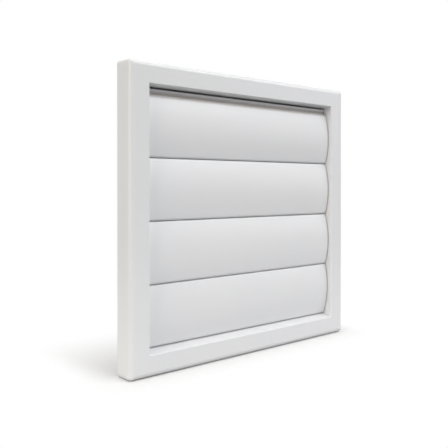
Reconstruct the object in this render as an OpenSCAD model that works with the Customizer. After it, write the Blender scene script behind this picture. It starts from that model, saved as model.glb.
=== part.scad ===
// Wall vent grille with four gravity flaps. A moulded frame snaps over a back plate with a
// round duct spigot, and the flaps hang by their own pins in the cheeks of the frame.
// X runs across the face, Y goes back into the wall and Z is up. The origin is on the
// spigot's axis, in the plane of the wall. Depths are counted back from the frame's face.

/* [Frame] */
// Width of the frame where it meets the wall
face_w = 155; // [145:1:185]
// Height of the frame where it meets the wall
face_h = 155; // [145:1:175]
// Depth of the frame from its face to the wall
frame_d = 12.2; // [12:0.1:16]
// Width of the border from the frame's outline to the opening
border_w = 11.2; // [10.5:0.1:14]
// Wall thickness of the frame
frame_wall = 1.8; // [1.5:0.1:2.2]
// Radius of the frame's corners, seen from the front
corner_r = 3.4; // [3.2:0.1:6]
// Rounding of the outer front edge
edge_r = 2.7; // [2.2:0.1:2.8]
// How much further out the sides stand at the wall than at the face
side_draft = 0.35; // [0.1:0.05:0.5]
// Rounding of the opening's front lip
lip_r = 0.5; // [0.4:0.1:1.2]

/* [Opening] */
// Depth at which the sloped sill and head end
slope_d = 6; // [5:0.1:6.5]
// Rise of the sill from the lip to the end of its slope
sill_rise = 1.4; // [1:0.1:2]
// Drop of the head from the lip to the end of its slope
head_drop = 0.5; // [0.3:0.1:1.2]
// Thickness of the cheeks, which carry the flaps' pins
cheek_wall = 2.4; // [2.2:0.1:3]
// Height of the stop behind the lowest flap, above the sill
stop_h = 1.8; // [1.4:0.1:2.4]
// Thickness of that stop, front to back
stop_t = 1.2; // [1:0.1:1.6]

/* [Flaps] */
// Thickness of a flap
flap_t = 1.2; // [1:0.05:1.3]
// How far a flap bulges forward between its two edges
flap_bulge = 2.6; // [2:0.1:3]
// How far the front of a flap lies behind the frame's face
flap_set = 2.05; // [1.6:0.05:2.4]
// Height of the strip along a flap's top, which the flap above laps over
lap_h = 3.15; // [2.2:0.05:3.2]
// Gap between a flap's lower edge and the shoulder of the flap below
lap_gap = 0.6; // [0.4:0.05:0.9]
// Gap between the strip and the back of the flap that laps over it
lap_clear = 0.45; // [0.4:0.05:0.5]
// Slot between the top flap's strip and the head
head_slot = 1; // [0.7:0.1:1.5]
// Gap between the lowest flap and the sill
sill_gap = 0.6; // [0.4:0.05:1]
// Gap between a flap's end and the cheek
end_gap = 0.6; // [0.4:0.05:0.9]
// How much further back the lowest flap hangs, in degrees
last_tilt = 3; // [1:0.5:3.5]

/* [Pins] */
// Radius of a flap's hinge pin
pin_r = 1; // [0.8:0.05:1.1]
// Radius of the boss that carries a pin
boss_r = 1.4; // [1.3:0.05:1.45]
// Length of the boss along the flap
boss_l = 3; // [2:0.5:5]
// Depth of the pin's centre behind the flap's edges
pin_back = 1; // [0.9:0.05:1.2]
// Height of the flap's shoulder above the pin's centre
pin_drop = 1.5; // [1.45:0.05:1.6]
// How far a pin reaches into the cheek
pin_grip = 2; // [1.6:0.1:2.2]
// Running clearance round a pin
pin_clear = 0.06; // [0.04:0.01:0.09]
// Depth of the groove that leads a pin into its hole
groove_d = 0.8; // [0.5:0.1:1.2]

/* [Back plate] */
// Thickness of the plate
plate_t = 1.5; // [1.3:0.1:1.8]
// Gap between the plate's edge and the frame's wall, where it is narrowest
plate_gap = 0.15; // [0.1:0.05:0.3]
// Gap between the plate and the walls of the opening, which land on it
seat_gap = 0.1; // [0.05:0.05:0.2]
// Height of the rim along the plate's edge
rim_h = 2.2; // [1.5:0.1:2.4]
// Thickness of the rim
rim_t = 1.6; // [1.2:0.1:2]
// Outer radius of the spigot, for a 100 mm duct
spigot_r = 49; // [46:0.5:50]
// Wall thickness of the spigot
spigot_wall = 1.8; // [1.6:0.1:2.6]
// Length of the spigot behind the wall plane
spigot_l = 32; // [20:1:60]
// Chamfer on the end of the spigot
spigot_chamfer = 1; // [0.5:0.1:1.2]
// Distance between the screw holes across the plate
screw_w = 116; // [112:1:118]
// Distance between the screw holes up the plate
screw_h = 92; // [86:1:96]
// Radius of a screw hole
screw_r = 2.25; // [1.8:0.05:2.6]

/* [Snaps] */
// Distance of a snap tongue from the middle of its side
snap_x = 32; // [24:1:40]
// Width of a tongue
snap_w = 9; // [6:0.5:12]
// Thickness of a tongue
snap_t = 1.4; // [1.2:0.1:1.6]
// How far a tongue's barb reaches out
barb = 0.7; // [0.5:0.05:0.7]
// Thickness of the catch on the frame, front to back
catch_t = 1.2; // [1:0.1:1.4]
// How far a catch stands in from the frame's wall
catch_in = 0.8; // [0.7:0.05:0.9]
// Clearance between a tongue and its catch
snap_clear = 0.2; // [0.1:0.05:0.25]

/* [Webs] */
// Distance of a stiffening web from the middle of its side
web_x = 52; // [46:1:56]
// Thickness of a web
web_t = 1.2; // [1:0.1:1.6]

/* [Hidden] */
white = [0.92, 0.92, 0.92];
flap_count = 4;
fine = 128;
small = 48;
past = 1;

// Opening: its size at the lip, and the levels of its sill and head at the flaps
open_w = face_w - 2 * border_w;
open_h = face_h - 2 * border_w;
sill_z = -open_h / 2 + sill_rise;
head_z = open_h / 2 - head_drop;
seat_d = frame_d - plate_t;

// Flaps: the pitch divides the opening, and the arc follows from the pitch and the bulge
pitch = (head_z - head_slot - lap_h - sill_z - sill_gap + lap_gap) / flap_count;
flap_w = open_w - 2 * end_gap;
arc_r = (pitch * pitch / 4 + flap_bulge * flap_bulge) / (2 * flap_bulge);
arc_d = flap_set + arc_r;
edge_d = flap_set + flap_bulge;
mid_r = arc_r - flap_t / 2;
tip_z = -pitch + lap_gap + flap_t / 2;
tip_d = arc_d - sqrt(mid_r * mid_r - pow(tip_z + pitch / 2, 2));
strip_d = tip_d + flap_t / 2 + lap_clear;
pin_d = edge_d + pin_back;
pin_l = end_gap + pin_grip;

// Height of the shoulder of flap i, the line at which it meets the flap above
function shoulder_z(i) = head_z - head_slot - lap_h - i * pitch;
// Angle by which flap i hangs further back than the others
function hang(i) = i == flap_count - 1 ? last_tilt : 0;

// The stop stands clear behind the lowest flap's tilted tip
tip_back = (tip_d - pin_d) * cos(last_tilt) - (tip_z + pin_drop) * sin(last_tilt);
stop_d = pin_d + tip_back + flap_t / 2 + lap_clear;

// Snaps: half sizes inside the frame's wall, and the depth of the catches
inner_w = face_w - 2 * frame_wall;
inner_h = face_h - 2 * frame_wall;
catch_d = (frame_wall + seat_d - rim_h) / 2;
barb_l = 1.5;
catch_root = 0.6;
web_gap = 0.6;
web_d = seat_d - rim_h - web_gap;

// Half profile of a moulded edge: straight back from its rounding, growing by the draft
module edge_profile(reach, round_r, draft, depth) {
  front = reach - draft;
  polygon([[0, 0], [front - round_r, 0], [front - round_r, round_r], [front, round_r],
           [reach, depth], [0, depth]]);
  intersection() {
    translate([front - round_r, round_r]) circle(round_r, $fn = fine);
    square([reach, depth]);
  }
}

// Section right across a moulded block
module block_section(half, reach, round_r, draft, depth) {
  for (side = [0, 1])
    mirror([side, 0]) translate([half, 0]) edge_profile(reach, round_r, draft, depth);
  translate([-half, 0]) square([2 * half, depth]);
}

// Block with rounded corners and a rounded front edge, w by h at its back
module moulded_block(w, h, corner, round_r, draft, depth) {
  half_w = w / 2 - corner;
  half_h = h / 2 - corner;
  translate([0, 0, -half_h]) linear_extrude(2 * half_h)
    block_section(half_w, corner, round_r, draft, depth);
  rotate([0, -90, 0]) translate([0, 0, -half_w]) linear_extrude(2 * half_w)
    block_section(half_h, corner, round_r, draft, depth);
  for (left = [0, 1], low = [0, 1])
    mirror([left, 0, 0]) mirror([0, 0, low]) translate([half_w, 0, half_h])
      rotate([-90, 0, 0]) rotate([0, 0, -90]) rotate_extrude(angle = 90, $fn = fine)
        edge_profile(corner, round_r, draft, depth);
}

// Section of the opening from low to high, with a rounded lip, grown outwards by a wall
module opening_section(size, rise, drop, wall) {
  low = -size / 2 - wall;
  high = size / 2 + wall;
  polygon([[low, -past], [low, lip_r], [low + rise, slope_d], [low + rise, frame_d + past],
           [high - drop, frame_d + past], [high - drop, slope_d], [high, lip_r], [high, -past]]);
}

// Flare of the lip, in front of the opening's walls
module lip_section(size) {
  difference() {
    translate([-size / 2 - lip_r, -past]) square([size + 2 * lip_r, past + lip_r]);
    for (side = [-1, 1])
      translate([side * (size / 2 + lip_r), lip_r]) circle(lip_r, $fn = fine);
  }
}

// Space through the frame: mitred corners, level cheeks, sloped sill and head
module opening_space() {
  reach = face_h;
  intersection() {
    translate([0, 0, -reach / 2]) linear_extrude(reach) {
      opening_section(open_w, 0, 0, 0);
      lip_section(open_w);
    }
    rotate([0, -90, 0]) translate([0, 0, -face_w / 2]) linear_extrude(face_w) {
      opening_section(open_h, sill_rise, head_drop, 0);
      lip_section(open_h);
    }
  }
}

// Block round the opening, whose outside is the outside of the cheeks, sill and head
module opening_walls() {
  wall_w = open_w + 2 * cheek_wall;
  wall_h = open_h + 2 * frame_wall;
  intersection() {
    rotate([0, -90, 0]) translate([0, 0, -wall_w / 2]) linear_extrude(wall_w)
      opening_section(open_h, sill_rise, head_drop, frame_wall);
    translate([-wall_w / 2, frame_wall / 2, -wall_h / 2])
      cube([wall_w, seat_d - seat_gap - frame_wall / 2, wall_h]);
  }
}

// Puts its children on the middle of each side, with +X across the side and +Z outwards
module each_side() {
  for (side = [0, 1])
    mirror([0, 0, side]) children(0);
  for (side = [0, 1])
    mirror([side, 0, 0]) rotate([0, 90, 0]) children(1);
}

// Catch that a tongue's barb snaps behind
module catch(half) {
  for (x = [-snap_x, snap_x])
    translate([x - snap_w / 2, catch_d, half - side_draft - catch_in])
      cube([snap_w, catch_t, catch_in + catch_root]);
}

// Tongue with a barb, rising from the plate inside the frame's wall
module tongue(half) {
  face = half - side_draft - catch_in - snap_clear;
  barb_d = catch_d - snap_clear;
  root_d = seat_d + plate_t / 2;
  for (x = [-snap_x, snap_x])
    translate([x + snap_w / 2, 0, face]) rotate([0, -90, 0]) linear_extrude(snap_w)
      polygon([[-snap_t, root_d], [0, root_d], [0, barb_d], [barb, barb_d],
               [barb, barb_d - barb_l / 3], [0, barb_d - barb_l], [-snap_t, barb_d - barb_l]]);
}

// Web between the frame's wall and the wall of the opening
module web(half, wall) {
  inner = half - border_w;
  for (x = [-web_x, web_x])
    translate([x - web_t / 2, frame_wall / 2, inner + wall / 2])
      cube([web_t, web_d - frame_wall / 2, border_w - frame_wall / 2 - side_draft - wall / 2]);
}

// Stop along the sill, behind the lowest flap
module sill_stop() {
  length = open_w + cheek_wall;
  translate([-length / 2, stop_d, sill_z - frame_wall / 2])
    cube([length, stop_t, frame_wall / 2 + stop_h]);
}

// Pin holes through the cheeks, each with a groove that leads in from behind
module pin_seats() {
  hole_r = pin_r + pin_clear;
  for (i = [0:flap_count - 1])
    translate([0, pin_d, shoulder_z(i) - pin_drop]) {
      rotate([0, 90, 0])
        cylinder(r = hole_r, h = open_w + 4 * cheek_wall, center = true, $fn = small);
      translate([-open_w / 2 - groove_d, 0, -hole_r])
        cube([open_w + 2 * groove_d, frame_d, 2 * hole_r]);
    }
}

// Frame: one moulding, hollow behind its face, with walls that line the opening
module front_frame() {
  color(white) translate([0, -frame_d, 0]) difference() {
    union() {
      difference() {
        moulded_block(face_w, face_h, corner_r, edge_r, side_draft, frame_d);
        translate([0, frame_wall, 0])
          moulded_block(inner_w, inner_h, corner_r - frame_wall, edge_r - frame_wall,
                        side_draft, frame_d);
      }
      opening_walls();
      each_side() {
        union() {
          catch(inner_h / 2);
          web(face_h / 2, frame_wall);
        }
        union() {
          catch(inner_w / 2);
          web(face_w / 2, cheek_wall);
        }
      }
    }
    opening_space();
    pin_seats();
  }
  color(white) translate([0, -frame_d, 0]) sill_stop();
}

// Outline with round corners
module round_rect(w, h, r) {
  square([w - 2 * r, h], center = true);
  square([w, h - 2 * r], center = true);
  for (x = [-1, 1], y = [-1, 1])
    translate([x * (w / 2 - r), y * (h / 2 - r)]) circle(r, $fn = small);
}

// Back plate: flat plate with a rim, snap tongues, screw holes and the duct spigot
module back_plate() {
  plate_w = inner_w - 2 * (side_draft + plate_gap);
  plate_h = inner_h - 2 * (side_draft + plate_gap);
  plate_r = corner_r - frame_wall;
  color(white) difference() {
    union() {
      rotate([90, 0, 0]) linear_extrude(plate_t) round_rect(plate_w, plate_h, plate_r);
      rotate([90, 0, 0]) linear_extrude(plate_t + rim_h) difference() {
        round_rect(plate_w, plate_h, plate_r);
        square([plate_w - 2 * rim_t, plate_h - 2 * rim_t], center = true);
      }
      translate([0, -frame_d, 0]) each_side() {
        tongue(inner_h / 2);
        tongue(inner_w / 2);
      }
      rotate([-90, 0, 0]) spigot();
    }
    rotate([-90, 0, 0]) {
      cylinder(r = spigot_r - spigot_wall, h = 4 * spigot_l, center = true, $fn = fine);
      for (x = [-1, 1], z = [-1, 1])
        translate([x * screw_w / 2, z * screw_h / 2])
          cylinder(r = screw_r, h = 4 * plate_t, center = true, $fn = small);
    }
  }
}

// Outside of the spigot, with a chamfer to start the duct
module spigot() {
  straight = spigot_l - spigot_chamfer;
  translate([0, 0, -plate_t / 2]) cylinder(r = spigot_r, h = straight + plate_t / 2, $fn = fine);
  translate([0, 0, straight])
    cylinder(r1 = spigot_r, r2 = spigot_r - spigot_chamfer, h = spigot_chamfer, $fn = fine);
}

// Section of a flap, with its shoulder at height 0: bowed blade, rounded tip, shoulder, strip
module flap_section() {
  intersection() {
    difference() {
      translate([arc_d, -pitch / 2]) circle(arc_r, $fn = 4 * fine);
      translate([arc_d, -pitch / 2]) circle(arc_r - flap_t, $fn = 4 * fine);
    }
    translate([0, tip_z]) square([strip_d, -tip_z]);
  }
  translate([tip_d, tip_z]) circle(flap_t / 2, $fn = small);
  translate([edge_d, -flap_t]) square([strip_d - edge_d + flap_t, flap_t]);
  translate([strip_d, -flap_t]) square([flap_t, flap_t + lap_h - flap_t / 2]);
  translate([strip_d + flap_t / 2, lap_h - flap_t / 2]) circle(flap_t / 2, $fn = small);
}

// Flap number i: one moulding with a boss and a hinge pin at each end
module flap(i) {
  color(white) translate([0, pin_d - frame_d, shoulder_z(i) - pin_drop]) rotate([hang(i), 0, 0]) {
    translate([0, -pin_d, pin_drop]) rotate([90, 0, 90]) translate([0, 0, -flap_w / 2])
      linear_extrude(flap_w) flap_section();
    for (side = [0, 1])
      mirror([side, 0, 0]) rotate([0, 90, 0]) {
        translate([0, 0, flap_w / 2 - boss_l]) cylinder(r = boss_r, h = boss_l, $fn = small);
        translate([0, 0, flap_w / 2 - boss_l]) cylinder(r = pin_r, h = boss_l + pin_l, $fn = small);
      }
  }
}

front_frame();
back_plate();
for (i = [0:flap_count - 1])
  flap(i);
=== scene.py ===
# %% [markdown]
# # Wall vent grille
# The real object is a white injection-moulded grille: a raised square frame, four bowed flaps that
# hang from pins in its cheeks, and a back plate with a duct spigot behind them. The imported solids
# already have the right shapes and places, so the first cell loads them and measures them. Blender
# then adds softened edges, crisper corners, a satin finish, painted shade in the slot, and light.

# %% Load the frame
import math
import bpy
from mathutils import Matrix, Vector


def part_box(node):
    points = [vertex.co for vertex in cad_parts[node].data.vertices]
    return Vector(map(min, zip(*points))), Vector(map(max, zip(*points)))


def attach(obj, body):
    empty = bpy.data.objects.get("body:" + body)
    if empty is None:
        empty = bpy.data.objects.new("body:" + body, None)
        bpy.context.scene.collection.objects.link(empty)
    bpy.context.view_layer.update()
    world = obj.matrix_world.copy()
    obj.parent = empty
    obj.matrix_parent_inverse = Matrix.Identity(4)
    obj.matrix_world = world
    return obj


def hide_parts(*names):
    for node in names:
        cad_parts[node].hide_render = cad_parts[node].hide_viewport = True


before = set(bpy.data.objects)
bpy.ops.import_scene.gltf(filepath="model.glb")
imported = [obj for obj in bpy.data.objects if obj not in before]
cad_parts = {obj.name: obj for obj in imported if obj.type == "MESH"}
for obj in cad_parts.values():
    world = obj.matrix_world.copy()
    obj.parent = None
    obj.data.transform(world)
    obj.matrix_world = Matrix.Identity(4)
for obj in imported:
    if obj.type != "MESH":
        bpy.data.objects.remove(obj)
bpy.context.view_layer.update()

MM = 0.001
low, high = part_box("front_frame")
print("frame in mm:", [round(v / MM, 1) for v in (*low, *high)])

# %% [markdown]
# ## The camera
# The photograph was taken from the left, a little above the grille's middle, with upright edges that
# stay upright. A camera that looks almost level and whose lens is shifted down does the same. Its
# place comes from the four corners of the frame: the ratio of the left edge to the right one gives
# the distance, and the lens follows from the size in the picture.

# %% Camera
SENSOR = 36
LENS = 46.0
SHIFT_DOWN = 0.0768
CAMERA_PLACE = Vector((-211.7, -251.8, 16.2)) * MM
YAW = 38.63
PITCH_DOWN = 0.35
NEAREST_SEEN = 10 * MM

camera_data = bpy.data.cameras.new("camera")
camera_data.sensor_width = SENSOR
camera_data.lens = LENS
camera_data.shift_y = -SHIFT_DOWN
camera_data.clip_start = NEAREST_SEEN
camera = bpy.data.objects.new("camera", camera_data)
camera.location = CAMERA_PLACE
camera.rotation_euler = (math.radians(90 - PITCH_DOWN), 0, math.radians(-YAW))
bpy.context.scene.collection.objects.link(camera)
bpy.context.scene.camera = camera
distance = (CAMERA_PLACE - Vector((0, low.y, 0))).length
print("camera to the middle of the face in mm:", round(distance / MM))

# %% [markdown]
# ## Small helpers for node trees
# Every material below is a graph of nodes. Five helpers keep the cells short: feed links a socket or
# sets it, add makes a node, arithmetic and colour_mix join two values, and fade makes a soft mask
# between two limits. A mask that eases in and out looks like dust or paint, where a hard step would
# look like a sticker. A Mix node has sockets of the same name for every kind of value, so the ones
# for colour are taken by their numbers.

# %% Node helpers
COLOUR_A, COLOUR_B, COLOUR_RESULT = 6, 7, 2


def feed(tree, socket, value):
    """Link a socket to another one, or set it to a constant"""
    if isinstance(value, bpy.types.NodeSocket):
        tree.links.new(value, socket)
    else:
        socket.default_value = value


def add(tree, kind, settings=None, **values):
    """New node with its settings, values and links; a double underscore stands for a space"""
    node = tree.nodes.new(kind)
    for key, setting in (settings or {}).items():
        setattr(node, key, setting)
    for key, value in values.items():
        feed(tree, node.inputs[key.replace("__", " ")], value)
    return node


def arithmetic(tree, operation, first, second=0.0):
    """Result of one operation on two values"""
    node = add(tree, "ShaderNodeMath", {"operation": operation})
    feed(tree, node.inputs[0], first)
    feed(tree, node.inputs[1], second)
    return node.outputs["Value"]


def colour_mix(tree, factor, first, second):
    """Colour that goes from the first to the second as the factor goes from 0 to 1"""
    mix = add(tree, "ShaderNodeMix", {"data_type": "RGBA"}, Factor=factor)
    feed(tree, mix.inputs[COLOUR_A], first)
    feed(tree, mix.inputs[COLOUR_B], second)
    return mix.outputs[COLOUR_RESULT]


def fade(tree, value, start, stop):
    """Mask that falls softly from 1 to 0 between two values"""
    node = add(tree, "ShaderNodeMapRange", {"interpolation_type": "SMOOTHSTEP"}, Value=value,
               From__Min=start, From__Max=stop, To__Min=1.0, To__Max=0.0)
    return node.outputs["Result"]


print("helpers: feed, add, arithmetic, colour_mix, fade")

# %% [markdown]
# ## White floor
# In the photograph the floor is pure white, apart from a short shadow to the left of the frame and a
# thin one along its foot. A plain white plane would turn grey towards the horizon, because no lamp
# reaches that far. So the camera sees the lit plane only near the grille and paper white elsewhere,
# while other rays see a white patch that lights the grille from below.

# %% Floor
FLOOR_SIZE = 12
FLOOR_ROUGHNESS = 0.9
PAPER_WHITE = (1, 1, 1, 1)
BOUNCE_NEAR, BOUNCE_FAR = 0.10, 0.55
BOUNCE_WHITE = 0.60
SHADED_WHITE = 0.823
KEEP_SIDE = (0.0763, 0.0958)
KEEP_BEHIND = (-0.0007, 0.0854)
KEEP_FRONT = (0.0057, 0.0307)


def near_grille(tree, place):
    """Mask of the floor close to the grille, where its shadow shows"""
    axes = add(tree, "ShaderNodeSeparateXYZ", Vector=place)
    side = fade(tree, arithmetic(tree, "ABSOLUTE", axes.outputs["X"]), *KEEP_SIDE)
    behind = fade(tree, axes.outputs["Y"], *KEEP_BEHIND)
    ahead = fade(tree, arithmetic(tree, "MULTIPLY", axes.outputs["Y"], -1), *KEEP_FRONT)
    return arithmetic(tree, "MULTIPLY", arithmetic(tree, "MULTIPLY", side, behind), ahead)


def floor_material():
    """Lit white near the grille, paper white elsewhere, and a patch that throws light back up"""
    material = bpy.data.materials.new("studio_floor")
    material.use_nodes = True
    tree = material.node_tree
    surface = tree.nodes["Principled BSDF"]
    surface.inputs["Roughness"].default_value = FLOOR_ROUGHNESS
    surface.inputs["Specular IOR Level"].default_value = 0
    place = tree.nodes.new("ShaderNodeTexCoord").outputs["Object"]
    rays = tree.nodes.new("ShaderNodeLightPath").outputs["Is Camera Ray"]

    reach = add(tree, "ShaderNodeVectorMath", {"operation": "LENGTH"}, Vector=place)
    patch = fade(tree, reach.outputs["Value"], BOUNCE_NEAR, BOUNCE_FAR)
    patch = arithmetic(tree, "MULTIPLY", patch, BOUNCE_WHITE)
    shade = add(tree, "ShaderNodeMix", Factor=rays, A=patch, B=SHADED_WHITE)
    tree.links.new(shade.outputs["Result"], surface.inputs["Base Color"])

    far = arithmetic(tree, "SUBTRACT", 1, near_grille(tree, place))
    paper = add(tree, "ShaderNodeEmission", Color=PAPER_WHITE, Strength=1)
    blend = add(tree, "ShaderNodeMixShader", Fac=arithmetic(tree, "MULTIPLY", far, rays))
    tree.links.new(surface.outputs["BSDF"], blend.inputs[1])
    tree.links.new(paper.outputs["Emission"], blend.inputs[2])
    tree.links.new(blend.outputs["Shader"], tree.nodes["Material Output"].inputs["Surface"])
    return material


bpy.ops.mesh.primitive_plane_add(size=FLOOR_SIZE, location=(0, 0, low.z))
floor = bpy.context.active_object
floor.name = "studio_floor"
floor.data.materials.append(floor_material())
print("floor at", round(low.z / MM, 1), "mm")

# %% [markdown]
# ## Pale sky
# White plastic shows its form only through small differences in grey, so the light matters as much
# as the mesh. A pale sky fills the shadows. The camera itself sees pure white instead of the sky,
# because the photograph has a white ground.

# %% Sky
SKY_LIGHT = 0.40
SKY_COLOUR = (0.98, 0.99, 1.0, 1)

scene = bpy.context.scene
scene.view_settings.view_transform = "Standard"
scene.world = bpy.data.worlds.new("studio")
scene.world.use_nodes = True
sky_tree = scene.world.node_tree
sky = sky_tree.nodes["Background"]
camera_rays = sky_tree.nodes.new("ShaderNodeLightPath").outputs["Is Camera Ray"]
strength = add(sky_tree, "ShaderNodeMix", Factor=camera_rays, A=SKY_LIGHT, B=1.0)
tint = colour_mix(sky_tree, camera_rays, SKY_COLOUR, PAPER_WHITE)
sky_tree.links.new(strength.outputs["Result"], sky.inputs["Strength"])
sky_tree.links.new(tint, sky.inputs["Color"])
print("sky at", SKY_LIGHT)

# %% [markdown]
# ## Softboxes
# Five flat lamps stand for the studio's softboxes. The large one high in front models the bow of
# the flaps, and the one high behind whitens the top of the frame. The one on the left warms the
# frame's side, as in the photograph, and the one on the right evens out the face. The small one high
# on the right stands where the rounded top edge mirrors it, which draws a bright line along it.

# %% Softboxes
WARM = (1, 0.94, 0.83)


def softbox(name, place, size, power, colour=(1, 1, 1)):
    """Flat lamp that faces the grille"""
    lamp = bpy.data.lights.new(name, "AREA")
    lamp.shape = "RECTANGLE"
    lamp.size, lamp.size_y = size
    lamp.energy = power
    lamp.color = colour
    box = bpy.data.objects.new(name, lamp)
    box.location = place
    box.rotation_euler = Vector(place).to_track_quat("Z", "Y").to_euler()
    bpy.context.scene.collection.objects.link(box)
    print(name, "at", round(Vector(place).length, 2), "m,", power, "W")


softbox("high_front", place=(0.15, -0.7, 0.8), size=(1.1, 0.9), power=5.5)
softbox("high_right", place=(0.56, -0.50, 0.66), size=(0.35, 0.35), power=1.1)
softbox("high_behind", place=(-0.1, 0.35, 0.95), size=(1.6, 1.0), power=4.8)
softbox("left_side", place=(-1.1, -0.2, 0.4), size=(0.5, 1.0), power=6.2, colour=WARM)
softbox("right_side", place=(0.9, -0.6, 0.5), size=(0.8, 0.8), power=1.9)

# %% [markdown]
# ## Crisper corners
# The solid rounds the frame's four corners by 3.4 mm, and the photograph shows about 1.4 mm. The
# points of each corner are pushed out along the line from the corner's centre, from the wide arc to
# the narrow one. Where the arc meets the straight edges nothing moves, and on the diagonal it moves
# most. The rings of the rounded outer edge grow by the same share, so the rounding stays even.

# %% Crisper corners
CORNER_SOLID = 3.4 * MM
CORNER_SEEN = 1.4 * MM


def crisp_corners(mesh):
    """Draw the frame's four corners out, from their radius in the solid to the one in the photo"""
    ratio = CORNER_SEEN / CORNER_SOLID
    centre = 1 - ratio
    for vertex in mesh.vertices:
        across = abs(vertex.co.x) - (high.x - CORNER_SOLID)
        upright = abs(vertex.co.z) - (high.z - CORNER_SOLID)
        if across <= 0 or upright <= 0:
            continue
        angle = math.atan2(min(across, upright), max(across, upright))
        if math.tan(angle) <= centre:
            stretch = 1 / math.cos(angle)
        else:
            along = centre * (math.cos(angle) + math.sin(angle))
            stretch = along + math.sqrt(along ** 2 - 2 * centre ** 2 + ratio ** 2)
        vertex.co.x += math.copysign(across * (stretch - 1), vertex.co.x)
        vertex.co.z += math.copysign(upright * (stretch - 1), vertex.co.z)


drawn_out = (CORNER_SOLID - CORNER_SEEN) * (math.sqrt(2) - 1)
print("corners grow on the diagonal by", round(drawn_out / MM, 2), "mm")

# %% [markdown]
# ## Softened edges
# A mould can't make a knife edge, and an edge without a radius never catches the light. The solids
# have their large roundings, but each flap and rib still ends in a sharp corner. A copy of each
# solid gets its loose triangles merged and its flat faces joined, so that a Bevel modifier turns
# only the sharp edges into small roundings. The bevel leaves a few doubled points at the frame's
# corners, which are merged once more, so the mesh stays closed.

# %% Softened edges
EDGE_WIDTH = 0.18 * MM
EDGE_STEPS = 2
SHARP_ANGLE = math.radians(40)
FLAT_ANGLE = math.radians(0.5)
MERGE = 0.001 * MM


def tidy_mesh(flat_angle=None):
    """Merge the active mesh's doubled points, and join its flat faces if an angle is given"""
    bpy.ops.object.mode_set(mode="EDIT")
    bpy.ops.mesh.select_all(action="SELECT")
    bpy.ops.mesh.remove_doubles(threshold=MERGE)
    if flat_angle is not None:
        bpy.ops.mesh.dissolve_limited(angle_limit=flat_angle)
    bpy.ops.object.mode_set(mode="OBJECT")


def soften(piece):
    """Round the piece's sharp edges"""
    bevel = piece.modifiers.new("edge", "BEVEL")
    bevel.width = EDGE_WIDTH
    bevel.segments = EDGE_STEPS
    bevel.limit_method = "ANGLE"
    bevel.angle_limit = SHARP_ANGLE
    bevel.use_clamp_overlap = False
    bpy.ops.object.modifier_apply(modifier="edge")
    tidy_mesh()


print("edges of", round(EDGE_WIDTH / MM, 2), "mm in", EDGE_STEPS, "steps")

# %% [markdown]
# ## The six mouldings
# Smooth shading on its own would bend the light on the flat faces next to a rounding, so a Weighted
# Normal modifier lets the largest faces set the normals. Each copy then stands in for its solid,
# rides on the body that the solid belongs to, and names the finish that it will get.

# %% Mouldings
SMOOTH_ANGLE = math.radians(32)
FLATNESS = 100
BODIES = {"front_frame": "housing", "back_plate": "housing", "flap_1": "top_flap",
          "flap_2": "upper_flap", "flap_3": "lower_flap", "flap_4": "bottom_flap"}
FINISHES = {"front_frame": "frame_plastic", "back_plate": "plate_plastic", "flap_1": "flap_plastic",
            "flap_2": "flap_plastic", "flap_3": "flap_plastic", "flap_4": "flap_plastic"}


def copy_of(name):
    """Copy of a solid with its own mesh, selected and active"""
    bpy.ops.object.select_all(action="DESELECT")
    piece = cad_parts[name].copy()
    piece.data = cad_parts[name].data.copy()
    piece.name = name + "_moulding"
    bpy.context.scene.collection.objects.link(piece)
    piece.select_set(True)
    bpy.context.view_layer.objects.active = piece
    return piece


def shade_evenly(piece):
    """Smooth shading that leaves the flat faces flat"""
    bpy.ops.object.shade_smooth_by_angle(angle=SMOOTH_ANGLE)
    even = piece.modifiers.new("even", "WEIGHTED_NORMAL")
    even.keep_sharp = True
    even.weight = FLATNESS
    bpy.ops.object.modifier_apply(modifier="even")


def moulding(name):
    """Softened copy of a solid, in its place"""
    piece = copy_of(name)
    tidy_mesh(FLAT_ANGLE)
    if name == "front_frame":
        crisp_corners(piece.data)
    soften(piece)
    shade_evenly(piece)
    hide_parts(name)
    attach(piece, BODIES[name])
    print(piece.name, "has", len(piece.data.polygons), "faces")
    return piece


pieces = {name: moulding(name) for name in BODIES}

# %% [markdown]
# ## Satin grain
# The steel of the mould is spark-eroded, which leaves a fine even grain on the plastic. It is far
# too fine to model, so it becomes a bump. The same group gives slow patches, by which the gloss and
# the white drift a little over a moulding, as they do where the melt cooled at different speeds. All
# three plastics use it, so it is a node group, made once and placed with its own values.

# %% Satin grain group
FINE_GRAIN, COARSE_GRAIN = 5200.0, 2600.0
PATCHES_PER_METRE = 22.0
GRAIN_DETAIL, GRAIN_ROUGHNESS = 3.0, 0.55
PATCH_DETAIL, PATCH_ROUGHNESS = 2.0, 0.5


def group_tree(name, inputs, outputs):
    """Empty node group with float sockets"""
    tree = bpy.data.node_groups.new(name, "ShaderNodeTree")
    for socket, value in inputs.items():
        made = tree.interface.new_socket(socket, in_out="INPUT", socket_type="NodeSocketFloat")
        made.default_value = value
    for socket in outputs:
        tree.interface.new_socket(socket, in_out="OUTPUT", socket_type="NodeSocketFloat")
    start = tree.nodes.new("NodeGroupInput")
    end = tree.nodes.new("NodeGroupOutput")
    return tree, start.outputs, end.inputs


grain, grain_in, grain_out = group_tree(
    "Satin grain", {"Grain per metre": FINE_GRAIN, "Patches per metre": PATCHES_PER_METRE},
    ["Height", "Patches"])
grain_place = grain.nodes.new("ShaderNodeTexCoord").outputs["Object"]
fine = add(grain, "ShaderNodeTexNoise", Vector=grain_place, Scale=grain_in["Grain per metre"],
           Detail=GRAIN_DETAIL, Roughness=GRAIN_ROUGHNESS)
slow = add(grain, "ShaderNodeTexNoise", Vector=grain_place, Scale=grain_in["Patches per metre"],
           Detail=PATCH_DETAIL, Roughness=PATCH_ROUGHNESS)
grain.links.new(fine.outputs["Fac"], grain_out["Height"])
grain.links.new(slow.outputs["Fac"], grain_out["Patches"])
print("Satin grain:", len(grain.nodes), "nodes")
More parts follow.
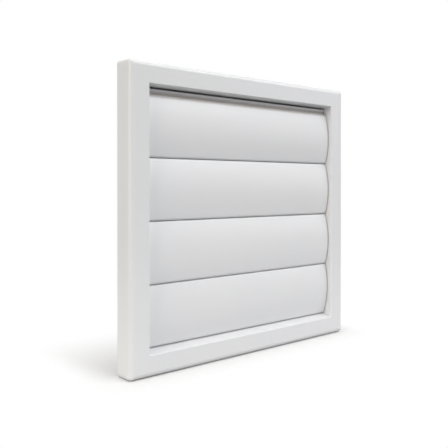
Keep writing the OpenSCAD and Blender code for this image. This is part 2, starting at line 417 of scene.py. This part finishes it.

# %% [markdown]
# ## Painted shade in the recesses
# The strip along the top flap lies in the shade of the frame's head, and more shade is painted into
# its colour and the ledge below, as a brownish grey band. The group takes any distance, such as the
# height above the ledge, and gives a mask that is full within one limit and gone at the other. Noise
# breaks up the line, so the painted shade doesn't end evenly.

# %% Recess painted shade group
CLOUDS_PER_METRE = 420.0
CLOUD_DETAIL, CLOUD_ROUGHNESS = 4.0, 0.6
CLOUD_MEAN = 0.5

# The group's mask paints shade into the colour of the recesses
painted_shade, painted_shade_in, painted_shade_out = group_tree(
    "Recess dust", {"Distance": 0.0, "Full": 1.0 * MM, "Gone": 2.0 * MM, "Ragged": 0.4 * MM},
    ["Mask"])
painted_shade_place = painted_shade.nodes.new("ShaderNodeTexCoord").outputs["Object"]
cloud = add(painted_shade, "ShaderNodeTexNoise", Vector=painted_shade_place, Scale=CLOUDS_PER_METRE,
            Detail=CLOUD_DETAIL, Roughness=CLOUD_ROUGHNESS)
wander = arithmetic(painted_shade, "SUBTRACT", cloud.outputs["Fac"], CLOUD_MEAN)
wander = arithmetic(painted_shade, "MULTIPLY", wander, painted_shade_in["Ragged"])
edge = arithmetic(painted_shade, "ADD", arithmetic(painted_shade, "ABSOLUTE", painted_shade_in["Distance"]), wander)
painted_shade.links.new(fade(painted_shade, edge, painted_shade_in["Full"], painted_shade_in["Gone"]), painted_shade_out["Mask"])
print("Recess dust:", len(painted_shade.nodes), "nodes")

# %% [markdown]
# ## The white plastic
# One function builds all three plastics, because the real ones are the same white resin. They differ
# in gloss and grain: the face and flaps come from a finely eroded mould, and the back plate, which
# nobody sees, from a coarser one. The colour mixes two near whites by the slow patches, then a
# brownish grey painted shade by the shade mask. The roughness follows both.

# %% Plastic material
WHITE_COOL = (0.790, 0.796, 0.818, 1)
WHITE_PLAIN = (0.808, 0.810, 0.820, 1)
# Brownish grey painted shade, mixed into the white where the recesses lie in shade
PAINTED_SHADE_COLOUR = (0.300, 0.258, 0.222, 1)
PAINTED_SHADE_ROUGH = 0.75
RESIN_IOR = 1.46
GLOSS_DRIFT = 0.08
GRAIN_STRENGTH = 0.25


def plastic(name, rough, grain_per_metre, grain_depth, painted_shade_amount, painted_shade_mask):
    """White moulded plastic; the last argument builds the mask of painted shade in the material's
    own tree
    """
    material = bpy.data.materials.new(name)
    material.use_nodes = True
    tree = material.node_tree
    surface = tree.nodes["Principled BSDF"]
    surface.inputs["IOR"].default_value = RESIN_IOR
    satin = tree.nodes.new("ShaderNodeGroup")
    satin.node_tree = grain
    satin.inputs["Grain per metre"].default_value = grain_per_metre

    # Painted shade: the mask darkens the colour and dulls the roughness there
    amount = arithmetic(tree, "MULTIPLY", painted_shade_mask(tree), painted_shade_amount)
    white = colour_mix(tree, satin.outputs["Patches"], WHITE_COOL, WHITE_PLAIN)
    tree.links.new(colour_mix(tree, amount, white, PAINTED_SHADE_COLOUR), surface.inputs["Base Color"])

    drift = arithmetic(tree, "MULTIPLY", satin.outputs["Patches"], GLOSS_DRIFT)
    gloss = arithmetic(tree, "ADD", drift, rough - GLOSS_DRIFT / 2)
    dull = add(tree, "ShaderNodeMix", Factor=amount, A=gloss, B=PAINTED_SHADE_ROUGH)
    tree.links.new(dull.outputs["Result"], surface.inputs["Roughness"])
    bump = add(tree, "ShaderNodeBump", Strength=GRAIN_STRENGTH, Distance=grain_depth,
               Height=satin.outputs["Height"])
    tree.links.new(bump.outputs["Normal"], surface.inputs["Normal"])
    print(name, "roughness", rough, "grain", round(1000 / grain_per_metre, 2), "mm")
    return material


# %% [markdown]
# ## Where the painted shade lies
# Each plastic names its own recess. On the flaps it is the ledge of the top one, whose height comes
# from the flap itself: the ledge lies one strip below its top edge. The frame and the plate get it
# by depth, as painted shade on what lies deep behind the flaps.

# %% Painted shade places
STRIP_HEIGHT = 3.15 * MM
LEDGE_RISE = 0.35 * MM
LEDGE_FULL, LEDGE_GONE, LEDGE_RAGGED = 0.6 * MM, 2.4 * MM, 0.5 * MM
HIDDEN_DEPTH = 5.9 * MM
DEPTH_FADE, DEPTH_RAGGED = 1.5 * MM, 0.8 * MM
BESIDE_FLAP = 1.0 * MM

flap_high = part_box("flap_1")[1]
LEDGE_Z = flap_high.z - STRIP_HEIGHT + LEDGE_RISE
INSIDE = flap_high.x + BESIDE_FLAP
print("ledge at", round(LEDGE_Z / MM, 2), "mm, inside to", round(INSIDE / MM, 2), "mm")


def painted_shade_on(tree, axis, level, full, gone, ragged):
    """Mask of painted shade around a level on one axis of the piece"""
    place = tree.nodes.new("ShaderNodeTexCoord").outputs["Object"]
    axes = add(tree, "ShaderNodeSeparateXYZ", Vector=place)
    recess = tree.nodes.new("ShaderNodeGroup")
    recess.node_tree = painted_shade
    away = arithmetic(tree, "SUBTRACT", axes.outputs[axis], level)
    tree.links.new(away, recess.inputs["Distance"])
    recess.inputs["Full"].default_value = full
    recess.inputs["Gone"].default_value = gone
    recess.inputs["Ragged"].default_value = ragged
    return recess.outputs["Mask"]


def ledge_painted_shade(tree):
    """Painted shade on the top flap's ledge"""
    return painted_shade_on(tree, "Z", LEDGE_Z, LEDGE_FULL, LEDGE_GONE, LEDGE_RAGGED)


def depth_painted_shade(tree):
    """Painted shade near the wall plane, inside the frame's walls only"""
    deep = painted_shade_on(tree, "Y", 0, HIDDEN_DEPTH - DEPTH_FADE, HIDDEN_DEPTH, DEPTH_RAGGED)
    across = painted_shade_on(tree, "X", 0, INSIDE, INSIDE + DEPTH_FADE, 0)
    upright = painted_shade_on(tree, "Z", 0, INSIDE, INSIDE + DEPTH_FADE, 0)
    return arithmetic(tree, "MULTIPLY", deep, arithmetic(tree, "MULTIPLY", across, upright))


# %% [markdown]
# ## The finishes
# The values are set side by side, so that the three can be compared: the frame is the glossiest,
# because hands polish it, the flaps are close to it, and the plate is plain and coarse.

# %% Finishes
# Each finish also gets a strength of painted shade for its recess
plastics = {
    "frame_plastic": plastic("frame_plastic", rough=0.30, grain_per_metre=FINE_GRAIN,
                             grain_depth=0.02 * MM, painted_shade_amount=0.25, painted_shade_mask=depth_painted_shade),
    "flap_plastic": plastic("flap_plastic", rough=0.33, grain_per_metre=FINE_GRAIN,
                            grain_depth=0.02 * MM, painted_shade_amount=0.62, painted_shade_mask=ledge_painted_shade),
    "plate_plastic": plastic("plate_plastic", rough=0.48, grain_per_metre=COARSE_GRAIN,
                             grain_depth=0.05 * MM, painted_shade_amount=0.30, painted_shade_mask=depth_painted_shade),
}
for name, slot in FINISHES.items():
    pieces[name].data.materials.clear()
    pieces[name].data.materials.append(plastics[slot])
print("finished pieces:", len(pieces))
